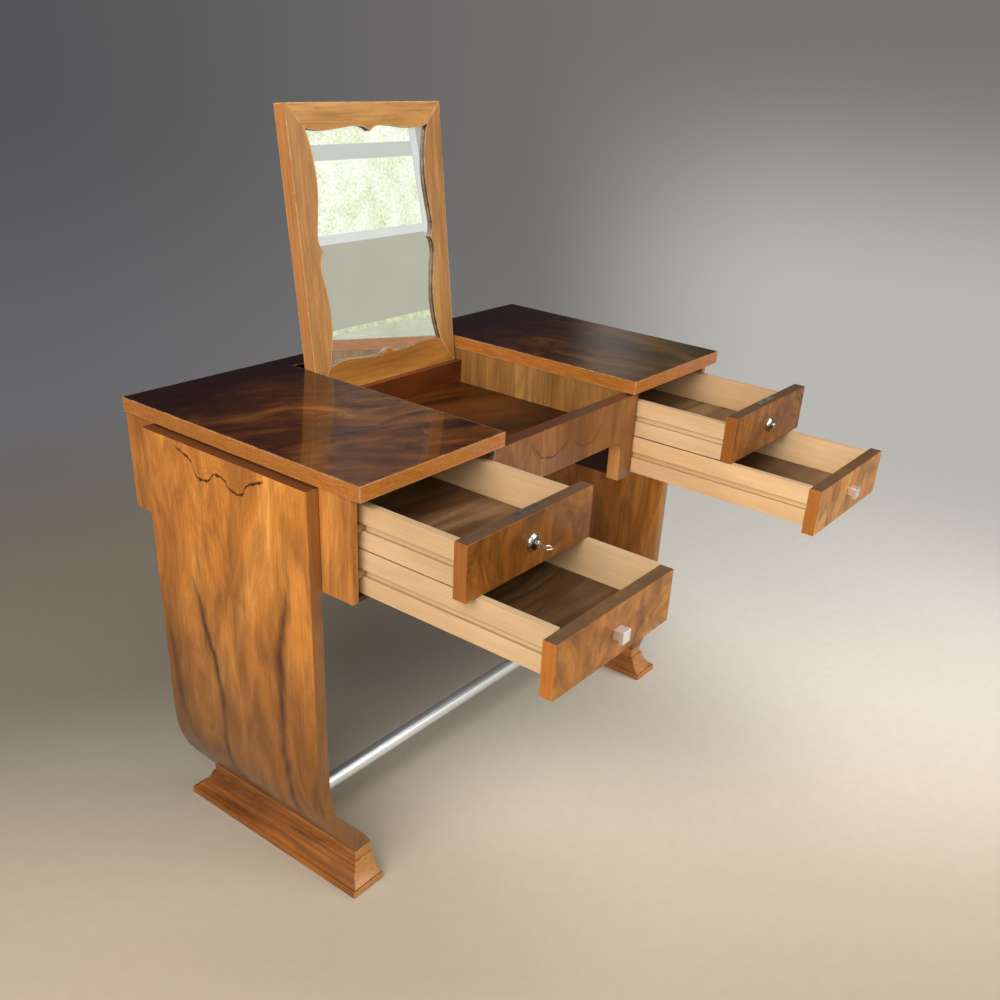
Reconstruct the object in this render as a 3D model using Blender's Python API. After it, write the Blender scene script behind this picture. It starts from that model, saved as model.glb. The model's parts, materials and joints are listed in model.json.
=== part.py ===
"""Walnut vanity table: a two-pedestal desk top with four drawers, a well in the middle and a
lid over it that tips up on two side pins to show the mirror on its underside.
Metres, +Z up. The floor is z = 0, the front is -Y, the left side is -X.
The lid stands open and the drawers are drawn out, each by its own amount."""

import math

import bmesh
import bpy

MM = 0.001
GAP = 0.3 * MM
SIDES = ((-1, "left"), (1, "right"))

# ---------------------------------------------------------------- driving dimensions
# table top, with the opening that the lid fills
HEIGHT = 762 * MM
WIDTH = 1000 * MM
DEPTH = 522 * MM
TOP_T = 24 * MM
TOP_EASE = 0.8 * MM
WELL_W = 378 * MM
BACK_STRIP = 46 * MM

# case: outer sides, pedestal walls beside the well, back and bottoms
CASE_FRONT = -240 * MM
CASE_BACK = 260.5 * MM
CASE_Z0 = 574.5 * MM
CASE_EASE = 0.6 * MM
SIDE_T = 12 * MM
WALL_IN = 190.5 * MM
WALL_T = 21.5 * MM
BACK_T = 10 * MM
BOTTOM_T = 7 * MM

# apron and the arch over the knees
APRON_X = 211.5 * MM
APRON_FRONT = -256 * MM
APRON_BACK = -231 * MM
APRON_Z0 = 577.5 * MM
ARCH_X = 168 * MM
ARCH_Z = 653.5 * MM
ARCH_R = 25 * MM
ARCH_STEP = 15

# well floor, and the cross board that the open lid leans on
FLOOR_TOP = 671 * MM
FLOOR_T = 8 * MM
STOP_Y = (146 * MM, 158 * MM)
STOP_TOP = 716.5 * MM

# drawer fronts and boxes
FRONT_T = 21.5 * MM
FRONT_X = (213.5 * MM, 495.5 * MM)
FRONT_EASE = 0.7 * MM
FRONT_Z = {"upper": (653.0 * MM, 735.3 * MM), "lower": (568.6 * MM, 650.3 * MM)}
BOX_Z = {"upper": (654.5 * MM, 720.8 * MM), "lower": (583.0 * MM, 652.4 * MM)}
RAIL_Z = {"upper": 687.3 * MM, "lower": 616.8 * MM}
PULLS = {"upper_left": 180 * MM, "lower_left": 324 * MM,
         "upper_right": 193 * MM, "lower_right": 363 * MM}
BOX_OUT = 472.3 * MM
BOX_LENGTH = 440 * MM
BOX_SIDE_T = 13 * MM
BOX_BACK_T = 12 * MM
BOX_BACK_DROP = 3 * MM
BOX_PLAY = 1.4 * MM
TRAY_LIFT = 6 * MM
TRAY_T = 6 * MM
RUNNER_H = 9.2 * MM
RUNNER_PLAY = 0.8 * MM
RUNNER_SET_BACK = (2 * MM, 4 * MM)
GROOVE_H = 10.6 * MM
GROOVE_D = 6.0 * MM

# square knobs: a block on a shank, with a front plate that hangs lower
KNOB_Z = {"left": 609.3 * MM, "right": 613.5 * MM}
KNOB_OUT = 16.0 * MM
KNOB_PLATE_T = 6.5 * MM
KNOB_HALF = 8.8 * MM
KNOB_PLATE_HALF = 9.2 * MM
KNOB_RISE = 7.2 * MM
KNOB_PLATE_DROP = 11.4 * MM
SHANK_HALF = 4.0 * MM
SHANK_IN = 11.5 * MM
SHANK_PLAY = 0.3 * MM

# locks, key and bolt
KEY_Z = 692.5 * MM
LOCK_HALF = 28.7 * MM
LOCK_DEPTH = 10.7 * MM
LOCK_DROP = 14.7 * MM
LOCK_PLAY = 0.3 * MM
TUMBLER_R = 9 * MM
TUMBLER_DEPTH = 4 * MM
BARREL_R = 2.4 * MM
KEY_HOLE_R = 3 * MM
BOLT_HALF = 10.7 * MM
BOLT_Y = (3.3 * MM, 7.7 * MM)
BOLT_Z0 = 709 * MM
BOLT_TOP_DROP = 0.5 * MM
BOLT_PLAY = 0.3 * MM
STRIKE_HALF = 13 * MM
STRIKE_Y = (2 * MM, 10 * MM)
STRIKE_UP = 10 * MM
ROSETTE_PROFILE = ((13.5, -0.3), (13.5, -2.0), (12.6, -3.4), (10.6, -4.8), (8.0, -5.8),
                   (5.4, -6.2), (5.2, -9.6), (4.4, -10.2))
KEY_OUT = 21.5 * MM
KEY_R = 1.6 * MM
BIT_HALF = 1.0 * MM
BIT_Y = (1.0 * MM, 3.6 * MM)
BIT_DROP = 7.6 * MM
BOW_SIZE = (6.4 * MM, 5.4 * MM)
BOW_WIRE = 1.3 * MM
BOW_LAP = 0.9 * MM

# legs, feet and stretcher
LEG_OUT = 521 * MM
LEG_IN = 497 * MM
LEG_TOP = 736 * MM
LEG_CURVE_TOP = 265 * MM
LEG_ROUND = 2.2 * MM
FOOT_TOP = 69 * MM
FOOT_X = (420 * MM, 488 * MM)
FOOT_Y = (-219 * MM, 210 * MM)
BLOCK_X = (422.6 * MM, 459 * MM)
BLOCK_Y = (-194 * MM, 175 * MM)
BLOCK_CHAMFER = 0.8 * MM
TUBE_R = 13.5 * MM
TUBE_Y = -75 * MM
TUBE_Z = 124 * MM
TUBE_END = 482 * MM
TUBE_HOLE_START = 430 * MM
# (height, inset) in mm of the leg's outer and inner faces, which sweep in at the ankle
SWEEP_OUT = ((69, 62), (92, 45), (124, 24), (155, 10), (185, 2.6), (215, 0))
SWEEP_IN = ((69, 74.4), (90, 62.6), (111, 46.6), (131, 29.6), (151, 12.8), (171, 3.4), (200, 0))
# (height, y) in mm of the leg's front and back edges
TOE = ((69, -194), (150, -194), (172, -190.5), (198, -183), (240, -179.5), (265, -179))
HEEL = ((69, 175), (95, 175), (116, 181), (145, 186.5), (170, 187))
# (height in mm, share of the way from the foot's outline to the block's)
FOOT_PROFILE = ((0, 0), (11.5, 0), (12.6, 0.02), (13.0, 0.13), (18, 0.30), (24, 0.47), (31, 0.62),
                (38, 0.74), (44, 0.82), (49, 0.86), (49.8, 0.88), (50.2, 1.0), (68.2, 1.0))

# mirror lid, measured along it from the pins
PIVOT_Y = 175.5 * MM
PIVOT_Z = HEIGHT - 13 * MM
LEAN = math.radians(6.56)
LID_T = 26 * MM
LID_W = 368 * MM
LID_UP = 435 * MM
LID_DOWN = 36.5 * MM
PANEL_T = 6.7 * MM
PANEL_EDGE = 5 * MM
GLASS_BACK = 1.0 * MM
GLASS_FRONT = 6.7 * MM
REBATE_X = 158 * MM
REBATE_U = (2 * MM, 407 * MM)
PIN_R = 4 * MM
PIN_IN = 21 * MM
PIN_OUT = 12 * MM
PIN_CHAMFER = 0.5 * MM
MITRE_GAP = 0.42
# waved inner edges in mm: (along from the middle, half opening), (across from the middle, wave)
SIDE_WAVE = ((0, 135), (8, 141), (25, 144), (55, 139), (98, 133.3), (125, 133.3), (155, 137),
             (180, 143), (192.75, 147))
END_WAVE = ((0, -8.3), (4, -5.8), (12, -2.1), (28, 0.3), (62, -1.6), (105, -5.5), (130, -4),
            (147, 0))
OPENING_X = 147
OPENING_U = (12.0, 397.5)

# lines that follow from the dimensions above
half = WIDTH / 2
front, back = -DEPTH / 2, DEPTH / 2
well = WELL_W / 2
top_z0 = HEIGHT - TOP_T
case_top = top_z0 - GAP
side_out = LEG_IN - GAP
side_in = side_out - SIDE_T
wall_out = WALL_IN + WALL_T
inner_x = WALL_IN - GAP
inner_back = CASE_BACK - BACK_T - GAP
box_in = wall_out + BOX_PLAY
centre_x = (FRONT_X[0] + FRONT_X[1]) / 2

for old in list(bpy.data.objects):
    bpy.data.objects.remove(old, do_unlink=True)

# ---------------------------------------------------------------- materials


def material(name, colour, rough, metal=0.0):
    made = bpy.data.materials.new(name)
    made.use_nodes = True
    shader = made.node_tree.nodes["Principled BSDF"]
    shader.inputs["Base Color"].default_value = (*colour, 1)
    shader.inputs["Roughness"].default_value = rough
    shader.inputs["Metallic"].default_value = metal
    return made


POLISHED = material("polished_walnut", (0.075, 0.028, 0.014), 0.15)
WALNUT = material("walnut", (0.36, 0.17, 0.06), 0.3)
WALNUT_BROWN = material("walnut_brown", (0.2, 0.1, 0.05), 0.35)
WALNUT_PALE = material("walnut_pale", (0.52, 0.3, 0.12), 0.35)
MAPLE = material("maple", (0.78, 0.62, 0.42), 0.5)
STEEL = material("brushed_steel", (0.6, 0.62, 0.63), 0.3, 1.0)
CHROME = material("chrome", (0.8, 0.8, 0.8), 0.1, 1.0)
MIRROR = material("mirror", (0.9, 0.9, 0.9), 0.02, 1.0)

# ---------------------------------------------------------------- shape helpers


def finish(bm, name, mat, home=None):
    """Makes one object of the mesh, closed and facing outwards. Without a material it's a cutter."""
    bmesh.ops.remove_doubles(bm, verts=bm.verts, dist=1e-7)
    bmesh.ops.recalc_face_normals(bm, faces=bm.faces)
    mesh = bpy.data.meshes.new(name)
    bm.to_mesh(mesh)
    bm.free()
    obj = bpy.data.objects.new(name, mesh)
    bpy.context.scene.collection.objects.link(obj)
    if mat is None:
        obj.hide_render = True
        obj.display_type = "WIRE"
    else:
        mesh.materials.append(mat)
    if home is not None:
        hang(obj, home)
    return obj


def hang(obj, home):
    obj.parent = home
    obj.matrix_parent_inverse = home.matrix_world.inverted()


def plain(x, y, z):
    return (x, y, z)


def box(name, corner, opposite, mat, home=None, place=plain):
    """Box between two corners; place(x, y, z) gives the world point of each corner."""
    bm = bmesh.new()
    xs, ys, zs = zip(corner, opposite)
    verts = [bm.verts.new(place(x, y, z)) for x in xs for y in ys for z in zs]
    for quad in ((0, 1, 3, 2), (4, 6, 7, 5), (0, 4, 5, 1), (2, 3, 7, 6), (0, 2, 6, 4), (1, 5, 7, 3)):
        bm.faces.new([verts[i] for i in quad])
    return finish(bm, name, mat, home)


def prism(name, outline, start, end, place, mat, home=None):
    """Extrudes a flat outline of (u, v) from start to end; place(u, v, w) gives the world point."""
    rings = [[place(u, v, w) for u, v in outline] for w in (start, end)]
    return loft(name, rings, mat, home)


def loft(name, rings, mat, home=None):
    """Skins a stack of rings with equal point counts and caps both ends."""
    bm = bmesh.new()
    made = [[bm.verts.new(p) for p in ring] for ring in rings]
    for low, high in zip(made, made[1:]):
        for i in range(len(low)):
            j = (i + 1) % len(low)
            bm.faces.new((low[i], low[j], high[j], high[i]))
    bm.faces.new(made[0])
    bm.faces.new(made[-1])
    return finish(bm, name, mat, home)


def turned(name, profile, centre, axis, mat, home=None, count=32):
    """Turns (radius, along) pairs round an axis, X or Y, through centre."""
    rings = []
    for radius, along in profile:
        ring = []
        for i in range(count):
            angle = 2 * math.pi * i / count
            across, up = radius * math.cos(angle), radius * math.sin(angle)
            offset = (along, across, up) if axis == "X" else (across, along, up)
            ring.append([c + o for c, o in zip(centre, offset)])
        rings.append(ring)
    made = loft(name, rings, mat, home)
    smooth(made)
    return made


def smooth(obj, angle=35):
    obj.data.shade_smooth()
    obj.data.set_sharp_from_angle(angle=math.radians(angle))


def combine(obj, operation, *others):
    for other in others:
        mod = obj.modifiers.new(operation.lower() + " " + other.name, "BOOLEAN")
        mod.operation = operation
        mod.solver = "EXACT"
        mod.object = other


def cut(obj, *cutters):
    combine(obj, "DIFFERENCE", *cutters)


def ease(obj, width, segments=2):
    mod = obj.modifiers.new("eased edges", "BEVEL")
    mod.width = width
    mod.segments = segments
    mod.limit_method = "ANGLE"
    mod.angle_limit = math.radians(35)
    mod.harden_normals = False


def joint(name, where, home=None):
    """Empty at a joint; its pieces are its children."""
    empty = bpy.data.objects.new(name, None)
    empty.location = where
    bpy.context.scene.collection.objects.link(empty)
    bpy.context.view_layer.update()
    if home is not None:
        hang(empty, home)
        bpy.context.view_layer.update()
    return empty


def curve(points, at):
    """Smooth interpolation through (position, value) pairs."""
    if at <= points[0][0]:
        return points[0][1]
    for i in range(len(points) - 1):
        (p0, v0), (p1, v1) = points[i], points[i + 1]
        if at <= p1:
            before = points[max(i - 1, 0)]
            after = points[min(i + 2, len(points) - 1)]
            t = (at - p0) / (p1 - p0)
            m0 = (v1 - before[1]) / (p1 - before[0]) * (p1 - p0)
            m1 = (after[1] - v0) / (after[0] - p0) * (p1 - p0)
            start = (2 * t**3 - 3 * t**2 + 1) * v0 + (t**3 - 2 * t**2 + t) * m0
            return start + (3 * t**2 - 2 * t**3) * v1 + (t**3 - t**2) * m1
    return points[-1][1]


def spread(low, high, count, power=1.0):
    """count + 1 values from low to high, closer together near low when power is over 1."""
    return [low + (high - low) * (k / count) ** power for k in range(count + 1)]


def rounded_ring(x0, x1, y0, y1, z, radius, steps=3):
    ring = []
    for cx, cy, start in ((x1, y1, 0), (x0, y1, 90), (x0, y0, 180), (x1, y0, 270)):
        sx = 1 if cx == x1 else -1
        sy = 1 if cy == y1 else -1
        for k in range(steps + 1):
            angle = math.radians(start + 90 * k / steps)
            ring.append((cx - sx * radius + radius * math.cos(angle),
                         cy - sy * radius + radius * math.sin(angle), z))
    return ring


def mirrored(ring, sign):
    return [(sign * x, y, z) for x, y, z in ring]


# ---------------------------------------------------------------- top and case


def make_top():
    slot = back - BACK_STRIP
    outline = [(-half, front), (-well, front), (-well, slot), (well, slot), (well, front),
               (half, front), (half, back), (-half, back)]
    top = prism("top_panel", outline, top_z0, HEIGHT, plain, POLISHED)
    for sign, side in SIDES:
        hole = [(PIN_R + GAP, sign * (well - 5 * MM)), (PIN_R + GAP, sign * (well + 14 * MM))]
        middle = sign * centre_x
        cut(top,
            turned("hole_top_pin_" + side, hole, (0, PIVOT_Y, PIVOT_Z), "X", None, count=24),
            box("hole_strike_" + side,
                (middle - STRIKE_HALF, CASE_FRONT - STRIKE_Y[1], top_z0 - MM),
                (middle + STRIKE_HALF, CASE_FRONT - STRIKE_Y[0], top_z0 + STRIKE_UP), None))
    ease(top, TOP_EASE)


def make_case():
    for sign, side in SIDES:
        outer = box("case_side_" + side, (sign * side_in, CASE_FRONT, CASE_Z0),
                    (sign * side_out, CASE_BACK, case_top), WALNUT)
        ease(outer, CASE_EASE, 1)
        box("well_side_" + side, (sign * WALL_IN, CASE_FRONT, CASE_Z0),
            (sign * wall_out, inner_back, case_top), WALNUT_PALE)
        box("case_bottom_" + side, (sign * (wall_out + GAP), CASE_FRONT + MM, CASE_Z0),
            (sign * (side_in - GAP), inner_back, CASE_Z0 + BOTTOM_T), WALNUT_BROWN)
    box("case_back", (-(side_in - GAP), CASE_BACK - BACK_T, CASE_Z0),
        (side_in - GAP, CASE_BACK, case_top), WALNUT_BROWN)


def make_apron():
    """Front board under the lid, with tongues behind the case fronts and an arch over the knees."""
    shoulder = CASE_FRONT - GAP
    outline = [(-APRON_X, APRON_FRONT), (APRON_X, APRON_FRONT), (APRON_X, shoulder),
               (inner_x, shoulder), (inner_x, APRON_BACK), (-inner_x, APRON_BACK),
               (-inner_x, shoulder), (-APRON_X, shoulder)]
    apron = prism("apron", outline, APRON_Z0, HEIGHT - LID_T - GAP, plain, WALNUT_BROWN)
    arch = [(-ARCH_X, APRON_Z0 - 10 * MM)]
    for degrees in range(0, 91, ARCH_STEP):
        angle = math.radians(degrees)
        arch.append((-ARCH_X + ARCH_R * (1 - math.cos(angle)), ARCH_Z - ARCH_R * (1 - math.sin(angle))))
    arch += [(-x, z) for x, z in reversed(arch)]
    cut(apron, prism("hole_arch", arch, APRON_FRONT - 14 * MM, APRON_BACK + 16 * MM,
                     lambda u, v, w: (u, w, v), None))
    ease(apron, FRONT_EASE)


def make_well():
    box("well_floor", (-inner_x, APRON_BACK + GAP, FLOOR_TOP - FLOOR_T),
        (inner_x, inner_back, FLOOR_TOP), WALNUT_BROWN)
    stop = box("mirror_stop", (-inner_x, STOP_Y[0], FLOOR_TOP + GAP),
               (inner_x, STOP_Y[1], STOP_TOP), WALNUT_BROWN)
    ease(stop, CASE_EASE, 1)


# ---------------------------------------------------------------- drawers and runners


def make_front(key, level, sign, face_y, home):
    low, high = FRONT_Z[level]
    rear = face_y + FRONT_T
    middle = sign * centre_x
    face = box("drawer_%s_front" % key, (sign * FRONT_X[0], face_y, low),
               (sign * FRONT_X[1], rear, high), WALNUT, home)
    if level == "upper":
        key_hole = [(KEY_HOLE_R, -2 * MM), (KEY_HOLE_R, FRONT_T)]
        wide = LOCK_HALF + LOCK_PLAY
        pocket_y = rear - LOCK_DEPTH - LOCK_PLAY
        cut(face,
            box("hole_lock_" + key, (middle - wide, pocket_y, KEY_Z - LOCK_DROP - LOCK_PLAY),
                (middle + wide, rear + MM, high + MM), None, home),
            turned("hole_key_" + key, key_hole, (middle, face_y, KEY_Z), "Y", None, home, 20))
    else:
        wide = SHANK_HALF + SHANK_PLAY
        knob_z = KNOB_Z["left" if sign < 0 else "right"]
        cut(face, box("hole_knob_" + key, (middle - wide, face_y - MM, knob_z - wide),
                      (middle + wide, face_y + SHANK_IN + 0.5 * MM, knob_z + wide), None, home))
    ease(face, FRONT_EASE)


def make_box_side(key, level, wall, sign, near_y, home):
    """One long side of a drawer, grooved for its runner."""
    low, high = BOX_Z[level]
    rail = RAIL_Z[level]
    x_face, inward = (BOX_OUT, -1) if wall == "outer" else (box_in, 1)
    far_y = near_y + BOX_LENGTH
    plank = box("drawer_%s_%s_side" % (key, wall), (sign * x_face, near_y, low),
                (sign * (x_face + inward * BOX_SIDE_T), far_y, high), MAPLE, home)
    cut(plank, box("hole_groove_%s_%s" % (key, wall),
                   (sign * (x_face - inward * MM), near_y - MM, rail - GROOVE_H / 2),
                   (sign * (x_face + inward * GROOVE_D), far_y + MM, rail + GROOVE_H / 2),
                   None, home))


def make_box_ends(key, level, sign, near_y, home):
    """Back and bottom of a drawer, between its sides."""
    low, high = BOX_Z[level]
    near_x = sign * (box_in + BOX_SIDE_T + GAP)
    far_x = sign * (BOX_OUT - BOX_SIDE_T - GAP)
    far_y = near_y + BOX_LENGTH
    box("drawer_%s_back" % key, (near_x, far_y - BOX_BACK_T, low),
        (far_x, far_y, high - BOX_BACK_DROP), MAPLE, home)
    box("drawer_%s_bottom" % key, (near_x, near_y, low + TRAY_LIFT),
        (far_x, far_y - BOX_BACK_T - GAP, low + TRAY_LIFT + TRAY_T), WALNUT_BROWN, home)


def make_runner(key, level, wall, sign):
    """Rail from the case wall into the groove of the drawer's side."""
    rail = RAIL_Z[level]
    reach = GROOVE_D - RUNNER_PLAY
    x_face, x_end = (side_in - GAP, BOX_OUT - reach) if wall == "outer" else (wall_out + GAP, box_in + reach)
    box("runner_%s_%s" % (key, wall),
        (sign * x_face, CASE_FRONT + RUNNER_SET_BACK[0], rail - RUNNER_H / 2),
        (sign * x_end, CASE_BACK - BACK_T - RUNNER_SET_BACK[1], rail + RUNNER_H / 2), MAPLE)


def make_drawer(level, sign, side):
    """Returns the empty at the drawer's front, which its other pieces hang on."""
    key = level + "_" + side
    face_y = CASE_FRONT - GAP - FRONT_T - PULLS[key]
    home = joint("joint_drawer_" + key, (sign * centre_x, face_y, sum(FRONT_Z[level]) / 2))
    near_y = face_y + FRONT_T + GAP
    make_front(key, level, sign, face_y, home)
    make_box_ends(key, level, sign, near_y, home)
    for wall in ("outer", "inner"):
        make_box_side(key, level, wall, sign, near_y, home)
        make_runner(key, level, wall, sign)
    return home


# ---------------------------------------------------------------- knobs, locks and key


def make_knob(side, home):
    x, y, z = home.location.x, home.location.y, KNOB_Z[side]
    neck = KNOB_OUT - KNOB_PLATE_T
    shank = (SHANK_HALF, SHANK_HALF, SHANK_HALF)
    block = (KNOB_HALF, KNOB_RISE, KNOB_RISE)
    plate = (KNOB_PLATE_HALF, KNOB_RISE + 0.3 * MM, KNOB_PLATE_DROP)
    face = (KNOB_PLATE_HALF - 0.6 * MM, KNOB_RISE - 0.3 * MM, KNOB_PLATE_DROP - 0.6 * MM)
    rings = []
    for out, (wide, rise, drop) in ((-SHANK_IN, shank), (GAP, shank), (GAP, block), (neck, block),
                                    (neck, plate), (KNOB_OUT - 0.6 * MM, plate), (KNOB_OUT, face)):
        rings.append([(x - wide, y - out, z - drop), (x + wide, y - out, z - drop),
                      (x + wide, y - out, z + rise), (x - wide, y - out, z + rise)])
    loft("knob_" + side, rings, CHROME, home)


def make_lock(side, home):
    """Lock body let into the back of the front, with a hole for the key and a slot for the bolt."""
    x, rear = home.location.x, home.location.y + FRONT_T
    top = FRONT_Z["upper"][1]
    lock = box("lock_" + side, (x - LOCK_HALF, rear - LOCK_DEPTH, KEY_Z - LOCK_DROP),
               (x + LOCK_HALF, rear, top), STEEL, home)
    tumbler = [(TUMBLER_R, -TUMBLER_DEPTH), (TUMBLER_R, 2 * MM)]
    barrel = [(BARREL_R, -12 * MM), (BARREL_R, -3 * MM)]
    slot_x = BOLT_HALF + BOLT_PLAY
    cut(lock,
        turned("hole_tumbler_" + side, tumbler, (x, rear, KEY_Z), "Y", None, home),
        turned("hole_barrel_" + side, barrel, (x, rear, KEY_Z), "Y", None, home, 20),
        box("hole_bolt_" + side, (x - slot_x, rear - BOLT_Y[1] - BOLT_PLAY, BOLT_Z0 - MM),
            (x + slot_x, rear - BOLT_Y[0] + BOLT_PLAY, top + MM), None, home))


def make_rosette(side, home):
    """Stepped round plate over the key hole."""
    x, y = home.location.x, home.location.y
    profile = [(radius * MM, along * MM) for radius, along in ROSETTE_PROFILE]
    rosette = turned("escutcheon_" + side, profile, (x, y, KEY_Z), "Y", CHROME, home, 40)
    hole = [(BARREL_R, -12 * MM), (BARREL_R, MM)]
    cut(rosette, turned("hole_rosette_" + side, hole, (x, y, KEY_Z), "Y", None, home, 20))


def make_bolt(home):
    x, rear = home.location.x, home.location.y + FRONT_T
    top = FRONT_Z["upper"][1] - BOLT_TOP_DROP
    place = joint("joint_lock_bolt", (x, rear - sum(BOLT_Y) / 2, BOLT_Z0 + MM), home)
    box("lock_bolt", (x - BOLT_HALF, rear - BOLT_Y[1], BOLT_Z0),
        (x + BOLT_HALF, rear - BOLT_Y[0], top), STEEL, place)


def make_bow(x, y, home, around=32, count=10):
    """Flat oval ring that the fingers turn."""
    major, minor = BOW_SIZE
    bm = bmesh.new()
    grid = []
    for i in range(around):
        angle = 2 * math.pi * i / around
        across, along = math.cos(angle) / major, math.sin(angle) / minor
        size = math.hypot(across, along)
        across, along = across / size, along / size
        row = []
        for k in range(count):
            turn = 2 * math.pi * k / count
            out = BOW_WIRE * math.cos(turn)
            row.append(bm.verts.new((x + major * math.cos(angle) + across * out,
                                     y + minor * math.sin(angle) + along * out,
                                     KEY_Z + BOW_WIRE * math.sin(turn))))
        grid.append(row)
    for i in range(around):
        this, after = grid[i], grid[(i + 1) % around]
        for k in range(count):
            m = (k + 1) % count
            bm.faces.new((this[k], after[k], after[m], this[m]))
    return finish(bm, "add_bow", None, home)


def make_key(home):
    """Round shank with a bit at the inner end and the ring at the outer end."""
    x, y = home.location.x, home.location.y
    rear = y + FRONT_T
    place = joint("joint_key", (x, y, KEY_Z), home)
    ends = [(KEY_R, -KEY_OUT), (KEY_R, FRONT_T - BIT_Y[0])]
    shank = turned("key", ends, (x, y, KEY_Z), "Y", CHROME, place, 16)
    bit = box("add_bit", (x - BIT_HALF, rear - BIT_Y[1], KEY_Z - BIT_DROP),
              (x + BIT_HALF, rear - BIT_Y[0], KEY_Z + 0.5 * MM), None, place)
    bow = make_bow(x, y - KEY_OUT - BOW_SIZE[1] + BOW_LAP, place)
    combine(shank, "UNION", bit, bow)


# ---------------------------------------------------------------- legs, feet and stretcher


def make_leg(sign, side):
    """Wide plank whose faces sweep in at the ankle."""
    low = FOOT_TOP + GAP
    levels = spread(low, LEG_CURVE_TOP, 30, 1.2) + spread(LEG_CURVE_TOP, LEG_TOP, 6)[1:]
    rings = []
    for z in levels:
        height = z / MM
        outer = LEG_OUT - curve(SWEEP_OUT, height) * MM
        inner = LEG_IN - curve(SWEEP_IN, height) * MM
        ring = rounded_ring(inner, outer, curve(TOE, height) * MM, curve(HEEL, height) * MM, z, LEG_ROUND)
        rings.append(mirrored(ring, sign))
    leg = loft("leg_" + side, rings, WALNUT)
    smooth(leg)
    hole = [(TUBE_R + GAP, sign * TUBE_HOLE_START), (TUBE_R + GAP, sign * (TUBE_END + GAP))]
    cut(leg, turned("hole_tube_" + side, hole, (0, TUBE_Y, TUBE_Z), "X", None, count=40))


def make_foot(sign, side):
    """Moulded plinth: lip, hollow, a small ledge and the block that carries the leg."""
    rings = []
    for height, share in FOOT_PROFILE:
        x0, x1 = [a + (b - a) * share for a, b in zip(FOOT_X, BLOCK_X)]
        y0, y1 = [a + (b - a) * share for a, b in zip(FOOT_Y, BLOCK_Y)]
        rings.append(mirrored(rounded_ring(x0, x1, y0, y1, height * MM, LEG_ROUND), sign))
    ease_in = BLOCK_CHAMFER
    top = rounded_ring(BLOCK_X[0] + ease_in, BLOCK_X[1] - ease_in, BLOCK_Y[0] + ease_in,
                       BLOCK_Y[1] - ease_in, FOOT_TOP, LEG_ROUND - ease_in)
    rings.append(mirrored(top, sign))
    smooth(loft("foot_" + side, rings, WALNUT))


def make_stretcher():
    ends = [(TUBE_R, -TUBE_END), (TUBE_R, TUBE_END)]
    turned("stretcher_tube", ends, (0, TUBE_Y, TUBE_Z), "X", STEEL, count=40)


# ---------------------------------------------------------------- mirror lid, standing open

LID_ALONG = (math.sin(LEAN), math.cos(LEAN))
LID_OUT = (-math.cos(LEAN), math.sin(LEAN))
n_back, n_front = -LID_T / 2, LID_T / 2
n_split = n_back + PANEL_T
lid_half = LID_W / 2


def on_lid(x, u, n):
    """x across, u along the lid from the pins to its far end, n from mid-thickness to the mirror."""
    return (x, PIVOT_Y + u * LID_ALONG[0] + n * LID_OUT[0], PIVOT_Z + u * LID_ALONG[1] + n * LID_OUT[1])


def side_edge():
    """Inner edge of the left stile from bottom to top, as (x, u) in mm."""
    middle = sum(OPENING_U) / 2
    steps = spread(0, SIDE_WAVE[-1][0], 26, 1.3)
    lower = [(-curve(SIDE_WAVE, s), middle - s) for s in reversed(steps)]
    return lower + [(-curve(SIDE_WAVE, s), middle + s) for s in steps[1:]]


def end_edge(sense):
    """Inner edge of a rail from left to right; sense is +1 at the far end and -1 at the near end."""
    level = OPENING_U[1] if sense > 0 else OPENING_U[0]
    steps = spread(0, OPENING_X, 23, 1.4)
    squeeze = 1 - MITRE_GAP / OPENING_X
    left = [(-s * squeeze, level + sense * curve(END_WAVE, s)) for s in reversed(steps)]
    return left + [(-x, u) for x, u in reversed(left[:-1])]


def make_lid_frame(home):
    """Four mitred pieces with waved inner edges, rebated for the glass and the panel."""
    low, high = -LID_DOWN / MM, LID_UP / MM
    wide = lid_half / MM
    inset = wide - MITRE_GAP
    left = [(-wide, low), *side_edge(), (-wide, high)]
    right = [(-x, u) for x, u in reversed(left)]
    far = end_edge(1) + [(inset, high), (-inset, high)]
    near = list(reversed(end_edge(-1))) + [(-inset, low), (inset, low)]
    rebate = box("hole_rebate", (-REBATE_X, REBATE_U[0], n_split - MM),
                 (REBATE_X, REBATE_U[1], GLASS_FRONT + GAP), None, home, on_lid)
    housing = box("hole_housing", (-lid_half + PANEL_EDGE, -LID_DOWN + PANEL_EDGE, n_back - MM),
                  (lid_half - PANEL_EDGE, LID_UP - PANEL_EDGE, n_split + GAP / 2), None, home, on_lid)
    for name, sense, outline in (("lid_stile_left", -1, left), ("lid_stile_right", 1, right),
                                 ("lid_rail_top", 0, far), ("lid_rail_bottom", 0, near)):
        outline = [(x * MM, u * MM) for x, u in outline]
        piece = prism(name, outline, n_back, n_front, on_lid, WALNUT_PALE, home)
        cut(piece, rebate, housing)
        if sense:
            hole = [(PIN_R + GAP, sense * (lid_half - PIN_IN - 2 * MM)),
                    (PIN_R + GAP, sense * (lid_half + 5 * MM))]
            cut(piece, turned("hole_" + name, hole, (0, PIVOT_Y, PIVOT_Z), "X", None, home, 24))


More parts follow.
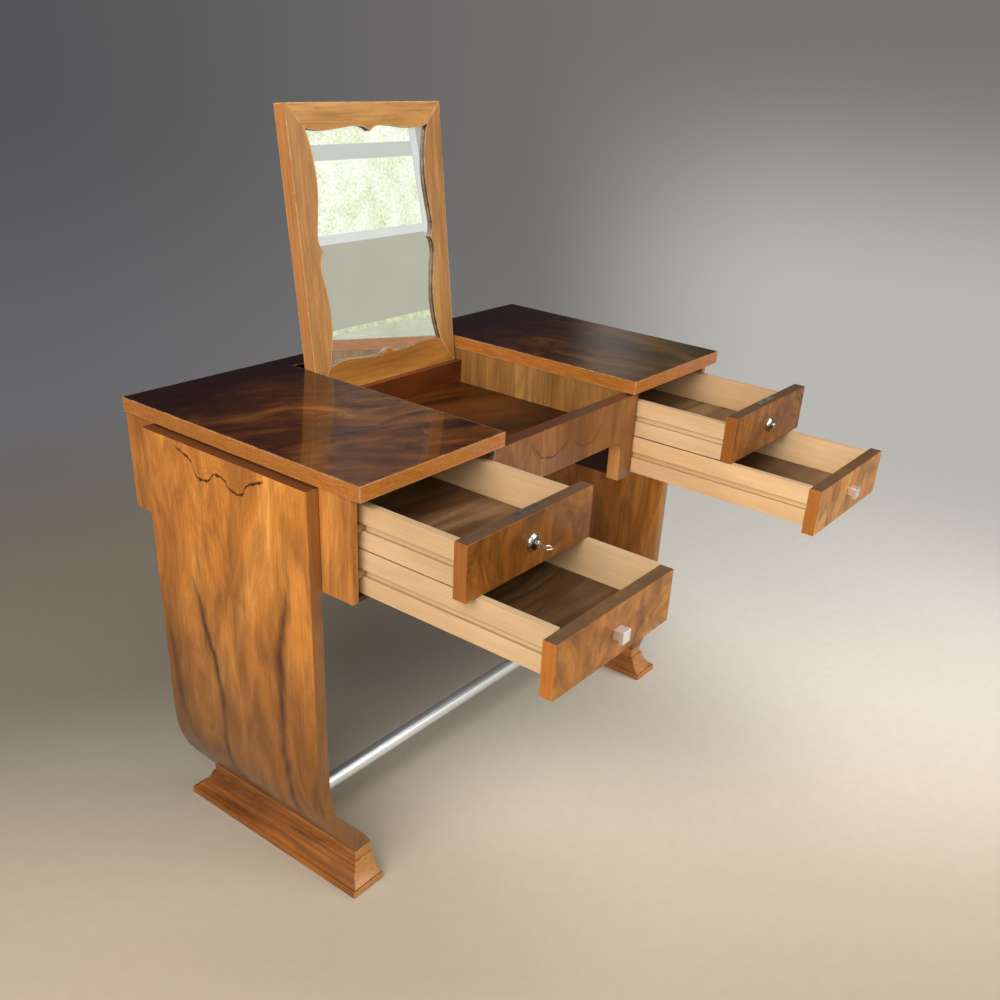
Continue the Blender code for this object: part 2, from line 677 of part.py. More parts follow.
def make_panel_and_glass(home):
    """Panel with a raised field that backs the glass."""
    field_x = REBATE_X - 0.4 * MM
    field_u = (REBATE_U[0] + 0.4 * MM, REBATE_U[1] - 0.4 * MM)
    edge = PANEL_EDGE + GAP
    panel = box("lid_panel", (-lid_half + edge, -LID_DOWN + edge, n_back),
                (lid_half - edge, LID_UP - edge, n_split - GAP / 2), POLISHED, home, on_lid)
    field = box("add_field", (-field_x, field_u[0], n_back + MM),
                (field_x, field_u[1], GLASS_BACK - GAP), None, home, on_lid)
    combine(panel, "UNION", field)
    box("mirror_glass", (-field_x, field_u[0], GLASS_BACK), (field_x, field_u[1], GLASS_FRONT),
        MIRROR, home, on_lid)


def make_pins(home):
    for sense, side in SIDES:
        low, high = sorted((sense * (lid_half - PIN_IN), sense * (well + PIN_OUT)))
        profile = [(PIN_R - PIN_CHAMFER, low), (PIN_R, low + PIN_CHAMFER),
                   (PIN_R, high - PIN_CHAMFER), (PIN_R - PIN_CHAMFER, high)]
        turned("pivot_pin_" + side, profile, (0, PIVOT_Y, PIVOT_Z), "X", STEEL, home, 24)


def centre_outline():
    """Moves everything so that the middle of the outline stands at y = 0."""
    nearest = CASE_FRONT - GAP - FRONT_T - max(PULLS.values()) - KNOB_OUT
    for obj in bpy.data.objects:
        if obj.parent is None:
            obj.location.y -= (nearest + back) / 2
    bpy.context.view_layer.update()


make_top()
make_case()
make_apron()
make_well()
for side_sign, side_name in SIDES:
    upper = make_drawer("upper", side_sign, side_name)
    make_lock(side_name, upper)
    make_rosette(side_name, upper)
    if side_name == "left":
        make_bolt(upper)
        make_key(upper)
    make_knob(side_name, make_drawer("lower", side_sign, side_name))
    make_leg(side_sign, side_name)
    make_foot(side_sign, side_name)
make_stretcher()
lid = joint("joint_mirror_lid", (0, PIVOT_Y, PIVOT_Z))
make_lid_frame(lid)
make_panel_and_glass(lid)
make_pins(lid)
centre_outline()
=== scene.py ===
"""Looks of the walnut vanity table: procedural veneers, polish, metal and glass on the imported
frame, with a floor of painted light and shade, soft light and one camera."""

import json
import math

import bmesh
import bpy
from mathutils import Matrix, Vector


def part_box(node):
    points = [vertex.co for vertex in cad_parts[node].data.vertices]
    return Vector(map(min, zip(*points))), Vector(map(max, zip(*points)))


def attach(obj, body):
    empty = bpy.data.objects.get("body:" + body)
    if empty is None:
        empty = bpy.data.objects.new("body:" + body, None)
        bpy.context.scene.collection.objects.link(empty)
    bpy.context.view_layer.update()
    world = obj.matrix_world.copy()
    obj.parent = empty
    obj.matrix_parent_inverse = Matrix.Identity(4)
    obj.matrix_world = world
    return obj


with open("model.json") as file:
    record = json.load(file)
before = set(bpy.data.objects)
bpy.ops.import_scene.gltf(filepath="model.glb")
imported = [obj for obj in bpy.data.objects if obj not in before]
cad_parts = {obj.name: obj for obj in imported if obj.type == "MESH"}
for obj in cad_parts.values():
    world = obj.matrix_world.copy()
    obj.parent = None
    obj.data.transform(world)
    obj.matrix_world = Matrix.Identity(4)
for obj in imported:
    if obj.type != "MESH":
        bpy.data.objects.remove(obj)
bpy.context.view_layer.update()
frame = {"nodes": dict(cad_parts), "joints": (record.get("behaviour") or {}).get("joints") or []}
nodes = frame["nodes"]
scene = bpy.context.scene

# ---------------------------------------------------------------- places taken from the frame
TOP_LOW, TOP_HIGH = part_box("top_panel")
MIDDLE_Y = (TOP_LOW.y + TOP_HIGH.y) / 2
WELL_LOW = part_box("well_floor")[0]
HINGE = next(j for j in frame["joints"] if j["name"] == "mirror_lid_hinge")
LEAN = math.radians(HINGE["range_deg"][1] - 90)
PIVOT = Vector(HINGE["pos_m"])
APRON_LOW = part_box("apron")[0]
LID_ALONG = (0.0, math.sin(LEAN), math.cos(LEAN))
LID_OUT = (0.0, -math.cos(LEAN), math.sin(LEAN))

# ---------------------------------------------------------------- places of marks, in metres
# Where a pair is the two ends of a soft step, the step runs from the first to the second.
SLOT_SIDES = (0.1895, 0.1885)
SIGHT_MIDDLE = 0.2047
SIGHT_SIDES = (0.166, 0.160)
SIGHT_ENDS = (0.216, 0.208)
WELL_JOINT = 0.151
# width of the light edge lines on the top and the lid frame, partly rubbed wear and partly painted
# highlight
WEAR_AND_HIGHLIGHT_EDGE = 0.004
CATCH_X = (-0.2131, -0.2118)
CATCH_DEPTH = (-0.2600, -0.2500)
CATCH_Z = (0.7240, 0.7377)
# dark streaks down a leg that draw together at the ankle: (height, depth) points, width, strength
LEG_STREAKS = (
    (((0.124, 0.021), (0.197, 0.045), (0.298, 0.048), (0.389, 0.062), (0.474, 0.081),
      (0.533, 0.118)), 0.006, 0.85),
    (((0.196, -0.115), (0.271, -0.104), (0.367, -0.104), (0.458, -0.107), (0.552, -0.127),
      (0.628, -0.137)), 0.009, 0.8),
    (((0.150, 0.110), (0.220, 0.150), (0.320, 0.165), (0.450, 0.178)), 0.007, 0.6),
    (((0.100, -0.010), (0.300, -0.020), (0.480, -0.010), (0.640, -0.030)), 0.020, 0.22),
)
# the ink line that hangs under a leg's top, on its outer face: (depth, height) points
LEG_OUTSIDE = (0.515, 0.519)
LEG_INK = ((-0.092, 0.725), (-0.055, 0.709), (-0.035, 0.690), (-0.016, 0.693), (-0.006, 0.704),
           (0.012, 0.707), (0.030, 0.693), (0.053, 0.689), (0.069, 0.713), (0.105, 0.7255))
# the ink lines that hang in arcs on the apron: (across, height) points
APRON_ARCS = (
    ((-0.120, 0.728), (-0.102, 0.708), (-0.060, 0.684), (-0.032, 0.688), (-0.002, 0.722)),
    ((0.008, 0.698), (0.030, 0.684), (0.060, 0.679), (0.085, 0.694), (0.104, 0.718)),
)

# ---------------------------------------------------------------- node graph helper


class Graph:
    """One material's or world's nodes. Each method returns an output socket."""

    def __init__(self, name, world=False):
        self.material = bpy.data.worlds.new(name) if world else bpy.data.materials.new(name)
        self.material.use_nodes = True
        self.tree = self.material.node_tree
        self.shader = self.tree.nodes["Background" if world else "Principled BSDF"]

    def node(self, kind, *values, **settings):
        made = self.tree.nodes.new(kind)
        for key, value in settings.items():
            setattr(made, key, value)
        for socket, value in zip(made.inputs, values):
            self.feed(socket, value)
        return made

    def feed(self, socket, value):
        if isinstance(value, bpy.types.NodeSocket):
            self.tree.links.new(value, socket)
        elif value is not None:
            socket.default_value = value

    def math(self, operation, *values):
        return self.node("ShaderNodeMath", *values, operation=operation).outputs[0]

    def times(self, *values):
        """Product of all the values."""
        product = values[0]
        for value in values[1:]:
            product = self.math("MULTIPLY", product, value)
        return product

    def vector(self, operation, *values):
        return self.node("ShaderNodeVectorMath", *values, operation=operation).outputs[0]

    def vector_dot(self, first, second):
        return self.node("ShaderNodeVectorMath", first, second,
                         operation="DOT_PRODUCT").outputs["Value"]

    def length(self, point):
        return self.node("ShaderNodeVectorMath", point, operation="LENGTH").outputs["Value"]

    def stretch(self, point, factors):
        return self.vector("MULTIPLY", point, factors)

    def axes(self, point):
        return self.node("ShaderNodeSeparateXYZ", point).outputs

    def noise(self, point, scale, detail=2.0, roughness=0.5, colour=False):
        made = self.node("ShaderNodeTexNoise")
        self.feed(made.inputs["Vector"], point)
        made.inputs["Scale"].default_value = scale
        made.inputs["Detail"].default_value = detail
        made.inputs["Roughness"].default_value = roughness
        return made.outputs["Color" if colour else "Fac"]

    def span(self, value, low, high, out_low=0.0, out_high=1.0):
        """Smooth step of value from low to high."""
        made = self.node("ShaderNodeMapRange", value, low, high, out_low, out_high,
                         interpolation_type="SMOOTHSTEP")
        return made.outputs[0]

    def course(self, value, points):
        """Smooth curve through a few (value, result) points, level beyond both ends."""
        low, high = min(p[1] for p in points), max(p[1] for p in points)
        start, end = points[0][0], points[-1][0]
        share = self.node("ShaderNodeMapRange", value, start, end).outputs[0]
        made = self.node("ShaderNodeFloatCurve", 1.0, share)
        line = made.mapping.curves[0]
        for _ in points[2:]:
            line.points.new(0.5, 0.5)
        for knot, (at, result) in zip(line.points, points):
            knot.location = ((at - start) / (end - start), (result - low) / (high - low))
        made.mapping.update()
        return self.node("ShaderNodeMapRange", made.outputs[0], 0.0, 1.0, low, high).outputs[0]

    def ramp(self, value, stops):
        made = self.node("ShaderNodeValToRGB", value)
        elements = made.color_ramp.elements
        while len(elements) < len(stops):
            elements.new(0.5)
        for element, (place, colour) in zip(elements, stops):
            element.position = place
            element.color = (*colour, 1)
        return made.outputs[0]

    def mix(self, share, first, second, blend="MIX"):
        made = self.node("ShaderNodeMix", data_type="RGBA", blend_type=blend)
        self.feed(made.inputs["Factor"], share)
        for socket, value in ((made.inputs[6], first), (made.inputs[7], second)):
            self.feed(socket, (*value, 1) if isinstance(value, tuple) else value)
        return made.outputs[2]

    def grey(self, value):
        return self.node("ShaderNodeCombineXYZ", value, value, value).outputs[0]

    def hill(self, value, centre, width):
        """Bell curve of height 1 round centre."""
        away = self.math("DIVIDE", self.math("SUBTRACT", value, centre), width)
        return self.math("EXPONENT", self.times(away, away, -1.0))

    def place(self):
        """The point in metres in the frame's own axes, which moves with the piece."""
        return self.node("ShaderNodeTexCoord").outputs["Object"]

    def facing(self, axis):
        """How far the surface faces along an axis, either way."""
        normal = self.node("ShaderNodeNewGeometry").outputs["True Normal"]
        turned = self.node("ShaderNodeVectorTransform", normal, vector_type="NORMAL",
                           convert_from="WORLD", convert_to="OBJECT").outputs[0]
        return self.math("ABSOLUTE", self.vector_dot(turned, axis))

    def edges(self, radius):
        """1 along the edges, 0 on the faces."""
        rounded = self.node("ShaderNodeBevel", samples=4)
        rounded.inputs["Radius"].default_value = radius
        normal = self.node("ShaderNodeNewGeometry").outputs["Normal"]
        return self.span(self.vector_dot(rounded.outputs[0], normal), 0.985, 0.80)

    def bump(self, height, strength, depth):
        made = self.node("ShaderNodeBump")
        made.inputs["Strength"].default_value = strength
        made.inputs["Distance"].default_value = depth
        self.feed(made.inputs["Height"], height)
        self.feed(self.shader.inputs["Normal"], made.outputs[0])

    def surface(self, colour, roughness, metallic=0.0, coat=0.0, coat_roughness=0.1, specular=0.35):
        inputs = self.shader.inputs
        self.feed(inputs["Base Color"], (*colour, 1) if isinstance(colour, tuple) else colour)
        self.feed(inputs["Roughness"], roughness)
        inputs["Metallic"].default_value = metallic
        inputs["Specular IOR Level"].default_value = specular
        inputs["Coat Weight"].default_value = coat
        inputs["Coat Roughness"].default_value = coat_roughness
        return self.material


# ---------------------------------------------------------------- wood

ALONG_X = (0.0, 0.0, 0.0)
ALONG_Y = (0.0, 0.0, math.radians(-90))
ALONG_Z = (0.0, math.radians(90), 0.0)
UP_LID = (LEAN, math.radians(90), 0.0)

GOLDEN = ((0.57, 0.240, 0.052), (0.45, 0.168, 0.028), (0.26, 0.084, 0.014))
ORANGE = ((0.65, 0.270, 0.067), (0.52, 0.195, 0.040), (0.36, 0.120, 0.023))
FOOT_TONES = ((0.50, 0.190, 0.040), (0.36, 0.120, 0.021), (0.19, 0.055, 0.010))
HONEY = ((0.50, 0.255, 0.085), (0.42, 0.200, 0.060), (0.31, 0.135, 0.036))
TOP_RAIL_TONES = ((0.50, 0.250, 0.072), (0.40, 0.185, 0.045), (0.28, 0.110, 0.024))
RAIL_TONES = ((0.46, 0.200, 0.040), (0.34, 0.135, 0.022), (0.21, 0.075, 0.012))
WELL_TONES = ((0.45, 0.225, 0.066), (0.35, 0.160, 0.042), (0.23, 0.098, 0.024))
BROWN = ((0.085, 0.025, 0.004), (0.042, 0.011, 0.002), (0.012, 0.003, 0.001))
BURL = ((0.35, 0.130, 0.020), (0.245, 0.084, 0.012), (0.12, 0.036, 0.006))
PALE_BURL = ((0.62, 0.280, 0.052), (0.47, 0.187, 0.029), (0.27, 0.092, 0.014))
POLISHED = ((0.170, 0.062, 0.010), (0.080, 0.023, 0.004), (0.014, 0.002, 0.002))
APRON_TONES = ((0.30, 0.120, 0.030), (0.215, 0.078, 0.018), (0.11, 0.036, 0.008))
DEEP = ((0.20, 0.050, 0.009), (0.12, 0.026, 0.005), (0.05, 0.010, 0.003))
TRAY_TONES = ((0.21, 0.115, 0.055), (0.115, 0.055, 0.024), (0.045, 0.020, 0.008))
RUNNER_TONES = ((0.42, 0.245, 0.110), (0.33, 0.180, 0.075), (0.22, 0.110, 0.042))
CREAM = ((0.70, 0.480, 0.270), (0.66, 0.430, 0.230), (0.58, 0.360, 0.180))
INK = (0.035, 0.012, 0.006)
BLACK_BROWN = (0.012, 0.005, 0.003)


class Wood(Graph):
    """Veneer or board with fibres along one direction."""

    def __init__(self, name, grain, tones, seed, swirl=0.5, size=1.0, figure=0.35,
                 cloud=0.12, aspect=5.4):
        super().__init__(name)
        self.where = self.turned(grain)
        shift = (0.37 * seed, 1.71 * seed % 5, 0.93 * seed % 7)
        self.local = self.vector("ADD", self.where, shift)
        broad_point = self.stretch(self.local, (7.0 / size / aspect, 7.0 / size, 7.0 / size))
        drift = self.noise(broad_point, 0.8, 2, 0.5, colour=True)
        drift = self.vector("SUBTRACT", drift, (0.5, 0.5, 0.5))
        bent = self.vector("ADD", broad_point, self.stretch(drift, (2 * swirl,) * 3))
        self.broad = self.noise(bent, 1.1, 3, 0.55)
        rings = self.noise(bent, 0.8, 1.5, 0.4)
        self.rings = self.math("SINE", self.math("MULTIPLY", rings, 60.0))
        self.fibre = self.noise(self.stretch(self.local, (9, 330, 330)), 1.0, 3, 0.6)
        speckle = self.noise(self.stretch(self.local, (38, 1050, 1050)), 1.0, 2, 0.5)
        self.pores = self.span(speckle, 0.60, 0.72)
        light, middle, dark = tones
        tone = self.ramp(self.broad, [(0.32, light), (0.50, middle), (0.72, dark)])
        tone = self.mix(self.span(self.rings, 0.1, 1.0, 0.0, figure), tone, dark)
        drifting = self.noise(self.stretch(bent, (3.5, 3.0, 3.0)), 1.0, 4, 0.65)
        shade = self.span(drifting, 0.30, 0.70, 1 - 1.4 * cloud, 1 + cloud)
        self.tone = self.mix(1.0, tone, self.grey(shade), "MULTIPLY")

    def turned(self, grain):
        """The point with its X axis laid along the grain."""
        turn = self.node("ShaderNodeMapping", self.place())
        turn.inputs["Rotation"].default_value = grain
        return turn.outputs[0]

    def darken(self, share, colour=INK):
        self.tone = self.mix(share, self.tone, colour)

    def shade(self, value):
        self.tone = self.mix(1.0, self.tone, self.grey(value), "MULTIPLY")

    def ink_line(self, above, thinness, shown):
        """Black-brown line where above is nought, thick and thin by turns, with soft rings."""
        uneven = self.noise(self.stretch(self.place(), thinness), 1.0, 2)
        width = self.span(uneven, 0.30, 0.70, 0.0013, 0.0036)
        near = self.math("SUBTRACT", 1.0, self.math("DIVIDE", self.math("ABSOLUTE", above), width))
        waves = self.math("SINE", self.math("MULTIPLY", above, 700.0))
        rings = self.span(waves, 0.0, 1.0, 0.0, 0.22)
        halo = self.times(self.hill(above, 0.012, 0.018), rings, shown)
        self.darken(halo, (0.22, 0.075, 0.02))
        self.darken(self.times(self.span(near, 0.0, 0.5), shown, 0.94))

    def done(self, rough=(0.28, 0.42), coat=0.3, coat_roughness=0.18, grain_depth=0.12,
             fine=(0.80, 1.10), pores=0.36, wear=0.45, worn=(0.62, 0.33, 0.13),
             edge_width=0.0016, specular=0.3):
        """Adds fibres, pores and edges of wear and painted highlight, and returns the finished
        material.
        """
        fibres = self.span(self.fibre, 0.3, 0.7, *fine)
        colour = self.mix(1.0, self.tone, self.grey(fibres), "MULTIPLY")
        colour = self.mix(self.math("MULTIPLY", self.pores, pores), colour, INK)
        # the edges are lightened partly as rubbed wear and partly as a painted highlight line
        patchy = self.span(self.noise(self.place(), 55.0, 4, 0.65), 0.38, 0.62, 0.25, 1.0)
        edge = self.times(self.edges(edge_width), patchy, wear)
        colour = self.mix(edge, colour, worn)
        roughness = self.span(self.fibre, 0.25, 0.75, *rough)
        roughness = self.math("ADD", roughness, self.times(edge, 0.2))
        height = self.math("SUBTRACT", self.math("MULTIPLY", self.fibre, 0.4), self.pores)
        self.bump(height, grain_depth, 0.0003)
        return self.surface(colour, roughness, coat=coat, coat_roughness=coat_roughness,
                            specular=specular)


def dress(name, material):
    """Gives a CAD node its material."""
    mesh = nodes[name].data
    mesh.materials.clear()
    mesh.materials.append(material)


def ease(name, width=0.0005, segments=2):
    """Joins a node's faces and rounds its sharp edges a little."""
    obj = nodes[name]
    weld = obj.modifiers.new("weld", "WELD")
    weld.merge_threshold = 1e-5
    bevel = obj.modifiers.new("eased", "BEVEL")
    bevel.width = width
    bevel.segments = segments
    bevel.limit_method = "ANGLE"
    bevel.angle_limit = math.radians(50)


def round_off(name, angle=35):
    """Shades a turned node smooth and keeps its sharp edges."""
    obj = nodes[name]
    mesh = obj.data
    if "custom_normal" in mesh.attributes:
        mesh.attributes.remove(mesh.attributes["custom_normal"])
    mesh.shade_smooth()
    weld = obj.modifiers.new("weld", "WELD")
    weld.merge_threshold = 1e-6
    split = obj.modifiers.new("edges", "EDGE_SPLIT")
    split.split_angle = math.radians(angle)
    split.use_edge_sharp = False


# ---------------------------------------------------------------- materials of each part


class PolishedTop(Wood):
    """Figure that runs across on the left half and front to back on the right half."""

    def turned(self, grain):
        across, along = (super(PolishedTop, self).turned((0, 0, math.radians(a))) for a in grain)
        x = self.axes(self.place())[0]
        made = self.node("ShaderNodeMix", data_type="VECTOR")
        self.feed(made.inputs["Factor"], self.span(x, -0.01, 0.01))
        self.feed(made.inputs[4], across)
        self.feed(made.inputs[5], along)
        return made.outputs[1]


def lipped_top(name, seed):
    """Dark French-polished figure and a painted reflection on the flat faces, orange lipping edges.
    """
    wood = PolishedTop(name, (20, 84), POLISHED, seed, swirl=1.8, size=0.95, figure=0.06,
                       cloud=0.28, aspect=1.9)
    x, y, z = wood.axes(wood.place())
    # painted reflection: the polish darker towards the rear, as it mirrors the dark room, and
    # lighter at the front; the right half darker too
    uneven = wood.math("SUBTRACT", wood.noise(wood.local, 5.0, 3, 0.6), 0.5)
    uneven = wood.math("MULTIPLY", uneven, 0.30)
    depth = wood.math("ADD", wood.math("SUBTRACT", y, MIDDLE_Y), uneven)
    wood.shade(wood.span(depth, 0.0, 0.21, 1.15, 0.16))
    wood.shade(wood.span(x, 0.0, 0.01, 1.0, 0.55))
    wood.darken(wood.span(depth, -0.04, 0.22, 0.0, 0.35), (0.030, 0.003, 0.006))
    flat = wood.facing((0, 0, 1))
    side = wood.span(flat, 0.55, 0.35)
    fibre = wood.noise(wood.stretch(wood.place(), (30, 30, 500)), 1.0, 3)
    edge_colour = wood.ramp(fibre, [(0.3, (0.52, 0.195, 0.040)), (0.7, (0.36, 0.120, 0.022))])
    wood.tone = wood.mix(side, wood.tone, edge_colour)
    # painted shade: the walls of the slot behind the lid darkened almost black
    rearward = wood.times(wood.span(wood.facing((0, 1, 0)), 0.6, 0.8),
                          wood.span(y, MIDDLE_Y, MIDDLE_Y + 0.01))
    slot_painted_shade = wood.times(rearward, wood.span(wood.math("ABSOLUTE", x), *SLOT_SIDES))
    wood.darken(slot_painted_shade, BLACK_BROWN)
    return wood.done(rough=(0.2, 0.3), coat=0.7, coat_roughness=0.03, grain_depth=0.02,
                     pores=0.12, specular=0.1, fine=(0.88, 1.06), wear=0.8,
                     worn=(0.78, 0.52, 0.28), edge_width=WEAR_AND_HIGHLIGHT_EDGE)


def leg_wood(name, sign, seed):
    """Golden plank with dark streaks, and an ink line near the top of its outer face."""
    wood = Wood(name, ALONG_Z, GOLDEN, seed, swirl=1.1, size=0.8, figure=0.08, cloud=0.22,
                aspect=3.6)
    x, y, z = wood.axes(wood.place())
    # painted shade: the leg darker towards the bottom and lighter at the top, as the light falls
    # off downwards
    wood.shade(wood.span(z, 0.08, 0.68, 0.45, 1.50))
    # painted light: the right-hand leg is brightened
    if sign > 0:
        wood.shade(1.75)
    depth = wood.math("SUBTRACT", y, MIDDLE_Y)
    sway = wood.math("SUBTRACT", wood.noise(wood.stretch(wood.place(), (1, 6, 14)), 1.0, 4), 0.5)
    swayed = wood.math("ADD", depth, wood.times(sway, 0.022))
    strength = 1.0 if sign < 0 else 0.4
    for points, width, amount in LEG_STREAKS:
        off = wood.math("SUBTRACT", swayed, wood.course(z, points))
        halo = wood.times(wood.hill(off, 0.008, width * 3), 0.35)
        body = wood.math("ADD", wood.hill(off, 0.0, width), halo)
        top = points[-1][0]
        ends = wood.times(wood.span(z, top + 0.02, top - 0.10),
                          wood.span(z, 0.07, 0.12, 0.6, 1.0))
        patchy = wood.noise(wood.stretch(wood.place(), (1, 60, 18)), 1.0, 3)
        patchy = wood.span(patchy, 0.3, 0.7, 0.55, 1.0)
        wood.darken(wood.times(body, ends, patchy, amount * strength), (0.085, 0.028, 0.010))
    ticks = wood.noise(wood.stretch(wood.place(), (1, 160, 160)), 1.0, 3)
    ticks = wood.math("SUBTRACT", ticks, 0.5)
    above = wood.math("ADD", z, wood.times(ticks, 0.006))
    above = wood.math("SUBTRACT", above, wood.course(depth, LEG_INK))
    outside = wood.span(wood.math("MULTIPLY", x, sign), *LEG_OUTSIDE)
    start, end = LEG_INK[0][0], LEG_INK[-1][0]
    shown = wood.times(wood.span(depth, start - 0.004, start + 0.006),
                       wood.span(depth, end + 0.003, end - 0.007), outside)
    wood.ink_line(above, (1, 300, 60), shown)
    # end grain on top, and the plank's front and back edges a little deeper
    upright = wood.span(wood.facing((0, 0, 1)), 0.8, 0.95)
    wood.darken(wood.times(upright, wood.span(z, 0.70, 0.73)), (0.10, 0.03, 0.010))
    wood.darken(wood.span(wood.facing((0, 1, 0)), 0.6, 0.9, 0.0, 0.7), (0.24, 0.105, 0.032))
    wood.darken(wood.span(z, 0.0712, 0.0700, 0.0, 0.8))
    return wood.done(coat=0.3, coat_roughness=0.22, fine=(0.84, 1.07), pores=0.3,
                     worn=(0.66, 0.38, 0.17))


def plain_wood(name, grain, tones, seed, **options):
    """Wood without marks of its own. The options are those of Wood and of its done()."""
    keys = ("rough", "coat", "coat_roughness", "grain_depth", "fine", "pores", "wear", "worn",
            "specular")
    finish = {key: options.pop(key) for key in keys if key in options}
    return Wood(name, grain, tones, seed, **options).done(**finish)


def foot_wood(name, sign, seed):
    """Strong lengthwise grain, with the mouldings' edges made light by wear and a painted
    highlight.
    """
    wood = Wood(name, ALONG_Y, FOOT_TONES, seed, size=0.6, figure=0.4, cloud=0.2)
    streaks = wood.noise(wood.stretch(wood.place(), (160, 4, 160)), 1.0, 3, 0.6)
    wood.shade(wood.span(streaks, 0.35, 0.65, 0.68, 1.15))
    # painted light: the right-hand foot is brightened
    if sign > 0:
        wood.shade(1.6)
    # painted light: the faces at the foot's front and back ends lightened, as if lit from the front
    wood.darken(wood.span(wood.facing((0, 1, 0)), 0.4, 0.8, 0.0, 0.65), (0.58, 0.29, 0.10))
    return wood.done(coat=0.3, coat_roughness=0.22, wear=0.75, worn=(0.66, 0.33, 0.13))


def apron_wood():
    """Vertical veneer with ink lines that hang in arcs in its upper middle."""
    wood = Wood("apron_veneer", ALONG_Z, APRON_TONES, 5, swirl=0.9, size=0.8, figure=0.25,
                cloud=0.2)
    x, y, z = wood.axes(wood.place())
    front = wood.span(y, APRON_LOW.y + 0.004, APRON_LOW.y + 0.002)
    wobble = wood.math("SUBTRACT", wood.noise(wood.stretch(wood.place(), (90, 1, 90)), 1.0, 3), 0.5)
    for points in APRON_ARCS:
        above = wood.math("ADD", z, wood.times(wobble, 0.012))
        above = wood.math("SUBTRACT", above, wood.course(x, points))
        start, end = points[0][0], points[-1][0]
        shown = wood.times(wood.span(x, start, start + 0.012),
                           wood.span(x, end, end - 0.012), front, 0.7)
        wood.ink_line(above, (160, 1, 60), shown)
    # painted light: the arch's sideways-facing jamb faces lightened, as if lit from the left
    jamb_painted_light = wood.times(wood.span(wood.facing((1, 0, 0)), 0.5, 0.8), wood.span(z, 0.66, 0.655))
    wood.darken(jamb_painted_light, (0.85, 0.40, 0.13))
    wood.darken(wood.span(z, 0.7345, 0.7352), (0.09, 0.03, 0.012))
    return wood.done(coat=0.3, coat_roughness=0.2)


def well_side_wood(name, seed):
    """Striped vertical veneer, plainer in front of a joint, and a painted shadow under the well's
    floor.
    """
    wood = Wood(name, ALONG_Z, WELL_TONES, seed, swirl=0.25, size=0.6, figure=0.3)
    x, y, z = wood.axes(wood.place())
    stripes = wood.noise(wood.stretch(wood.place(), (1, 260, 7)), 1.0, 3, 0.6)
    joint = WELL_LOW.y + WELL_JOINT
    rear = wood.span(y, joint - 0.001, joint + 0.001)
    wood.darken(wood.times(wood.span(stripes, 0.50, 0.64, 0.0, 0.6), rear), (0.22, 0.095, 0.028))
    wood.darken(wood.times(wood.hill(y, joint, 0.0007), 0.7))
    # painted shadow: nearly black below the well's floor
    wood.darken(wood.span(z, WELL_LOW.z + 0.001, WELL_LOW.z, 0.0, 0.93), (0.035, 0.006, 0.004))
    return wood.done(coat=0.2, coat_roughness=0.25)


def front_wood(name, seed, tones, end_tone):
    """Drawer front: burl with vertical grain, redder end faces, and a darker, greyer top edge."""
    wood = Wood(name, ALONG_Z, tones, seed, swirl=1.8, size=0.8, figure=0.06, cloud=0.3, aspect=1.7)
    smoke = wood.noise(wood.stretch(wood.place(), (10, 10, 14)), 1.0, 4, 0.6)
    wood.darken(wood.span(smoke, 0.55, 0.75, 0.0, 0.55), (0.07, 0.022, 0.008))
    wood.darken(wood.span(wood.facing((1, 0, 0)), 0.6, 0.9, 0.0, 0.9), end_tone)
    wood.darken(wood.span(wood.facing((0, 0, 1)), 0.6, 0.9, 0.0, 0.88), (0.085, 0.052, 0.032))
    return wood.done(coat=0.14, coat_roughness=0.2, wear=0.45, fine=(0.88, 1.06), pores=0.25,
                     specular=0.2)


def maple(name, seed, grain=ALONG_Y, painted_light_factor=1.0):
    """Pale drawer side or back, greyer on its top edge."""
    wood = Wood(name, grain, CREAM, seed, swirl=0.25, size=0.7, figure=0.06, cloud=0.05)
    wood.shade(painted_light_factor)
    level = wood.span(wood.facing((0, 0, 1)), 0.6, 0.9)
    wood.darken(wood.times(level, 0.75), (0.36, 0.25, 0.145))
    return wood.done(rough=(0.45, 0.6), coat=0.04, coat_roughness=0.4, grain_depth=0.1,
                     fine=(0.95, 1.03), pores=0.07, wear=0.3, worn=(0.50, 0.36, 0.22),
                     specular=0.2)


def frame_wood(name, grain, tones, seed):
    """Lid frame: paler outer edges, edge lines of wear and painted highlight, dark waved inner
    edges.
    """
    wood = Wood(name, grain, tones, seed, size=0.45, swirl=0.2, figure=0.08, cloud=0.06)
    x, y, z = wood.axes(wood.place())
    flat = wood.span(wood.facing(LID_OUT), 0.7, 0.4)
    along = wood.vector_dot(wood.vector("SUBTRACT", wood.place(), tuple(PIVOT)), LID_ALONG)
    from_middle = wood.math("ABSOLUTE", wood.math("SUBTRACT", along, SIGHT_MIDDLE))
    inside = wood.times(wood.span(wood.math("ABSOLUTE", x), *SIGHT_SIDES),
                        wood.span(from_middle, *SIGHT_ENDS))
    outer_side = wood.times(wood.span(wood.facing((1, 0, 0)), 0.6, 0.9),
                            wood.math("SUBTRACT", 1.0, inside))
    wood.darken(wood.times(outer_side, 0.8), (0.60, 0.250, 0.075))
    wood.darken(wood.times(flat, inside, 0.95), (0.050, 0.018, 0.007))
    return wood.done(coat=0.3, coat_roughness=0.22, wear=0.8, worn=(0.84, 0.56, 0.30),
                     edge_width=WEAR_AND_HIGHLIGHT_EDGE)


